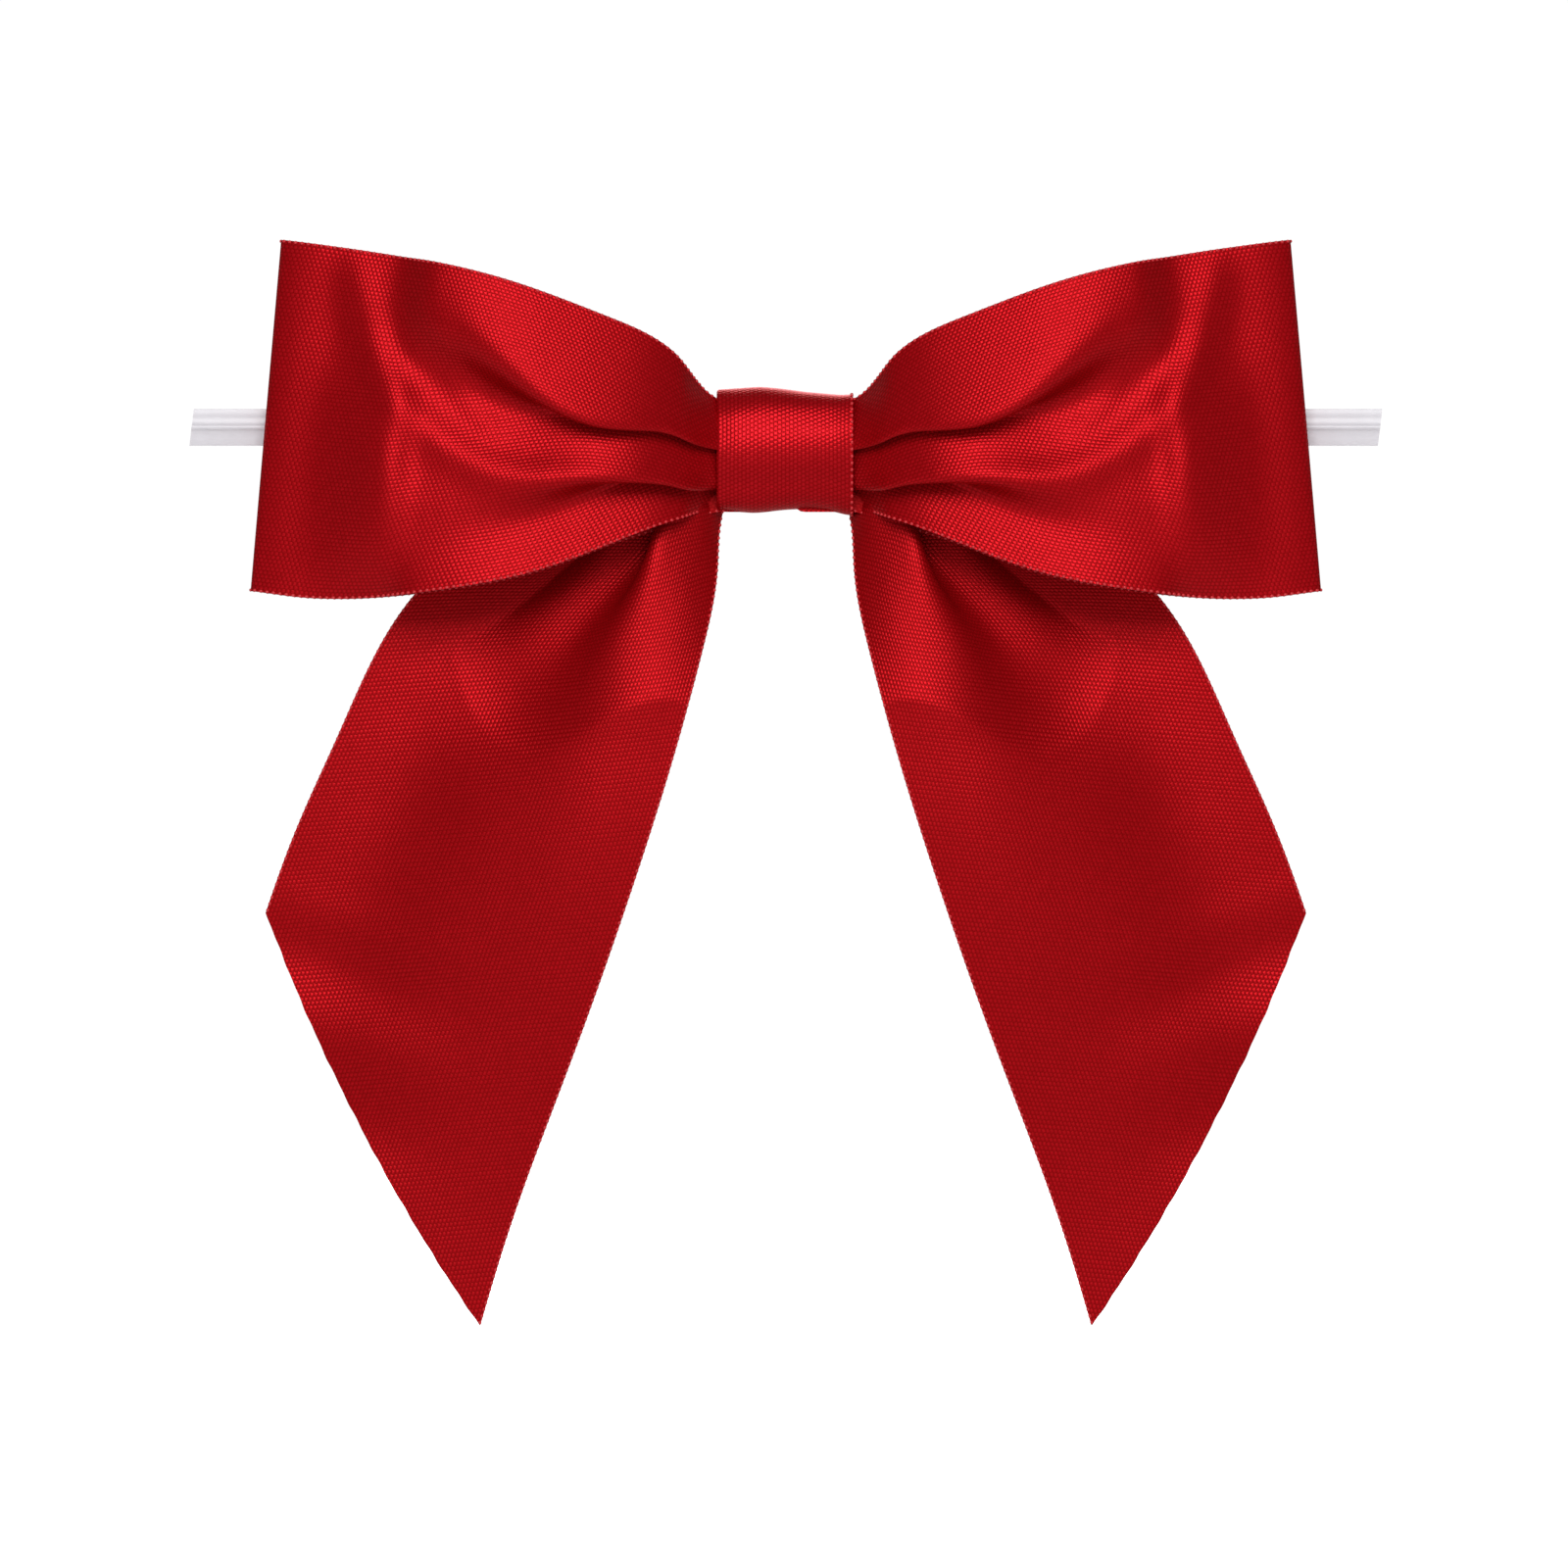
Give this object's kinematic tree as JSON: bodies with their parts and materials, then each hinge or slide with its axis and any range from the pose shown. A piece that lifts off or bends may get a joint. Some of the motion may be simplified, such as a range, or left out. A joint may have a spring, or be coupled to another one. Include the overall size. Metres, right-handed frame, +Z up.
{
  "type": "pre-made gift bow",
  "caption": "Flat satin ribbon gift bow: two loops and two slanting tails gathered at a banded knot, on a clear twist tie that fastens it to a bag or parcel.",
  "frame": {"origin": "the middle of the flat patch on the back of the knot, which lies against the gift", "axes": "+Z up the bow, +Y out of its back into the gift, so the front looks along -Y; X along the twist tie"},
  "size_m": [0.1292, 0.0136, 0.1179],
  "materials": {
    "loop_satin": "red single-face satin ribbon with picot edges",
    "tail_satin": "red single-face satin ribbon, cut ends",
    "band_satin": "red single-face satin ribbon",
    "hot_melt": "set film of hot-melt glue",
    "thread": "red spun polyester thread",
    "tie_plastic": "clear frosted plastic sleeve",
    "tie_wire": "soft galvanised steel wire"
  },
  "bodies": {
    "knot": {"knot_band": "band_satin", "band_glue": "hot_melt", "binding_thread": "thread", "loop_waist": "loop_satin", "tail_waist": "tail_satin", "tie_sleeve_centre": "tie_plastic", "tie_wire_centre": "tie_wire"},
    "left_loop": {"left_loop": "loop_satin"},
    "left_tail_upper": {"left_tail_upper": "tail_satin"},
    "left_tail_lower": {"left_tail_lower": "tail_satin"},
    "left_tie_inner": {"tie_sleeve_left_inner": "tie_plastic", "tie_wire_left_inner": "tie_wire"},
    "left_tie_outer": {"tie_sleeve_left_outer": "tie_plastic", "tie_wire_left_outer": "tie_wire"},
    "right_loop": {"right_loop": "loop_satin"},
    "right_tail_upper": {"right_tail_upper": "tail_satin"},
    "right_tail_lower": {"right_tail_lower": "tail_satin"},
    "right_tie_inner": {"tie_sleeve_right_inner": "tie_plastic", "tie_wire_right_inner": "tie_wire"},
    "right_tie_outer": {"tie_sleeve_right_outer": "tie_plastic", "tie_wire_right_outer": "tie_wire"}
  },
  "joints": [
    {"name": "left_loop_swing", "type": "hinge", "parent": "knot", "child": "left_loop", "pos_m": [-0.0074, -0.0066, 0], "axis": [0, 0, 1], "range_deg": [0, 35], "stiffness_Nm_per_rad": 0.005},
    {"name": "left_tail_spread", "type": "hinge", "parent": "knot", "child": "left_tail_upper", "pos_m": [-0.002, -0.00215, -0.001], "axis": [0, 1, 0], "range_deg": [-8, 25], "stiffness_Nm_per_rad": 0.02},
    {"name": "left_tail_curl", "type": "hinge", "parent": "left_tail_upper", "child": "left_tail_lower", "pos_m": [-0.0357, -0.00124, -0.0465], "axis": [-0.9367, 0, 0.3502], "range_deg": [-60, 60], "stiffness_Nm_per_rad": 0.005},
    {"name": "left_tie_root_bend", "type": "hinge", "parent": "knot", "child": "left_tie_inner", "pos_m": [-0.008, -0.00088, 0.0027], "axis": [0, 0, -1], "range_deg": [0, 80]},
    {"name": "left_tie_tip_bend", "type": "hinge", "parent": "left_tie_inner", "child": "left_tie_outer", "pos_m": [-0.03, -0.00088, 0.0027], "axis": [0, 0, -1], "range_deg": [0, 29]},
    {"name": "right_loop_swing", "type": "hinge", "parent": "knot", "child": "right_loop", "pos_m": [0.0074, -0.0066, 0], "axis": [0, 0, -1], "range_deg": [0, 35], "stiffness_Nm_per_rad": 0.005},
    {"name": "right_tail_spread", "type": "hinge", "parent": "knot", "child": "right_tail_upper", "pos_m": [0.002, -0.00215, -0.001], "axis": [0, -1, 0], "range_deg": [-8, 25], "stiffness_Nm_per_rad": 0.02},
    {"name": "right_tail_curl", "type": "hinge", "parent": "right_tail_upper", "child": "right_tail_lower", "pos_m": [0.0357, -0.00124, -0.0465], "axis": [-0.9367, 0, -0.3502], "range_deg": [-60, 60], "stiffness_Nm_per_rad": 0.005},
    {"name": "right_tie_root_bend", "type": "hinge", "parent": "knot", "child": "right_tie_inner", "pos_m": [0.008, -0.00088, 0.0027], "axis": [0, 0, 1], "range_deg": [0, 80]},
    {"name": "right_tie_tip_bend", "type": "hinge", "parent": "right_tie_inner", "child": "right_tie_outer", "pos_m": [0.03, -0.00088, 0.0027], "axis": [0, 0, 1], "range_deg": [0, 29]}
  ]
}
